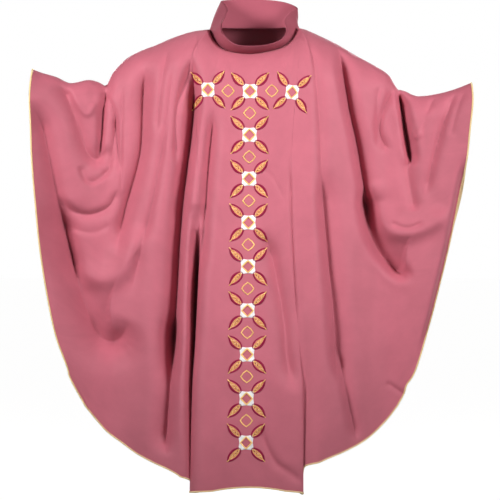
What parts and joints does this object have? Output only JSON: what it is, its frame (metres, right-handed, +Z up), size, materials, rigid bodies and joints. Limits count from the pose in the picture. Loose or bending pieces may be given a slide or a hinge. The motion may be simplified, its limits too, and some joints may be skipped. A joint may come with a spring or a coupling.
{
  "type": "chasuble",
  "caption": "Full conical chasuble with a proud centre panel, a stand-up collar, an embroidered T of crosses and corded edges, shown as worn.",
  "frame": {"origin": "midway between the high points of the shoulders, on the line where the wearer carries the garment", "axes": "+Z up, front towards -Y, the wearer's left towards +X"},
  "size_m": [1.2414, 0.3936, 1.4094],
  "materials": {
    "rose_cloth": "matte",
    "rose_lining": "matte",
    "interfacing": "matte",
    "gold_cord": "satin",
    "embroidery": "satin",
    "gold_thread": "satin"
  },
  "bodies": {
    "centre": {"front_centre_panel": "rose_cloth", "front_hem_cord": "gold_cord", "front_cross_01": "embroidery", "front_cross_02": "embroidery", "front_cross_03": "embroidery", "front_cross_04": "embroidery", "front_cross_05": "embroidery", "front_cross_06": "embroidery", "front_cross_07": "embroidery", "front_cross_08": "embroidery", "front_cross_09": "embroidery", "front_cross_10": "embroidery", "front_cross_11": "embroidery", "front_diamond_01": "gold_thread", "front_diamond_02": "gold_thread", "front_diamond_03": "gold_thread", "front_diamond_04": "gold_thread", "front_diamond_05": "gold_thread", "front_diamond_06": "gold_thread", "front_diamond_07": "gold_thread", "front_diamond_08": "gold_thread", "front_diamond_09": "gold_thread", "front_diamond_10": "gold_thread", "back_centre_panel": "rose_cloth", "back_hem_cord": "gold_cord", "back_cross_01": "embroidery", "back_cross_02": "embroidery", "back_cross_03": "embroidery", "back_cross_04": "embroidery", "back_cross_05": "embroidery", "back_cross_06": "embroidery", "back_cross_07": "embroidery", "back_cross_08": "embroidery", "back_cross_09": "embroidery", "back_cross_10": "embroidery", "back_cross_11": "embroidery", "back_diamond_01": "gold_thread", "back_diamond_02": "gold_thread", "back_diamond_03": "gold_thread", "back_diamond_04": "gold_thread", "back_diamond_05": "gold_thread", "back_diamond_06": "gold_thread", "back_diamond_07": "gold_thread", "back_diamond_08": "gold_thread", "back_diamond_09": "gold_thread", "back_diamond_10": "gold_thread", "collar_outer": "rose_cloth", "collar_interfacing": "interfacing", "collar_lining": "rose_lining", "neck_binding": "rose_lining"},
    "left_wing": {"left_front_wing": "rose_cloth", "left_front_cord": "gold_cord", "left_back_wing": "rose_cloth", "left_back_cord": "gold_cord", "left_shoulder_tape": "interfacing"},
    "right_wing": {"right_front_wing": "rose_cloth", "right_front_cord": "gold_cord", "right_back_wing": "rose_cloth", "right_back_cord": "gold_cord", "right_shoulder_tape": "interfacing"}
  },
  "joints": [
    {"name": "left_wing_swing", "type": "hinge", "parent": "centre", "child": "left_wing", "pos_m": [0.185, 0, 0], "axis": [0, 0, 1], "range_deg": [-18, 12]},
    {"name": "right_wing_swing", "type": "hinge", "parent": "centre", "child": "right_wing", "pos_m": [-0.185, 0, 0], "axis": [0, 0, -1], "range_deg": [-18, 12]}
  ]
}
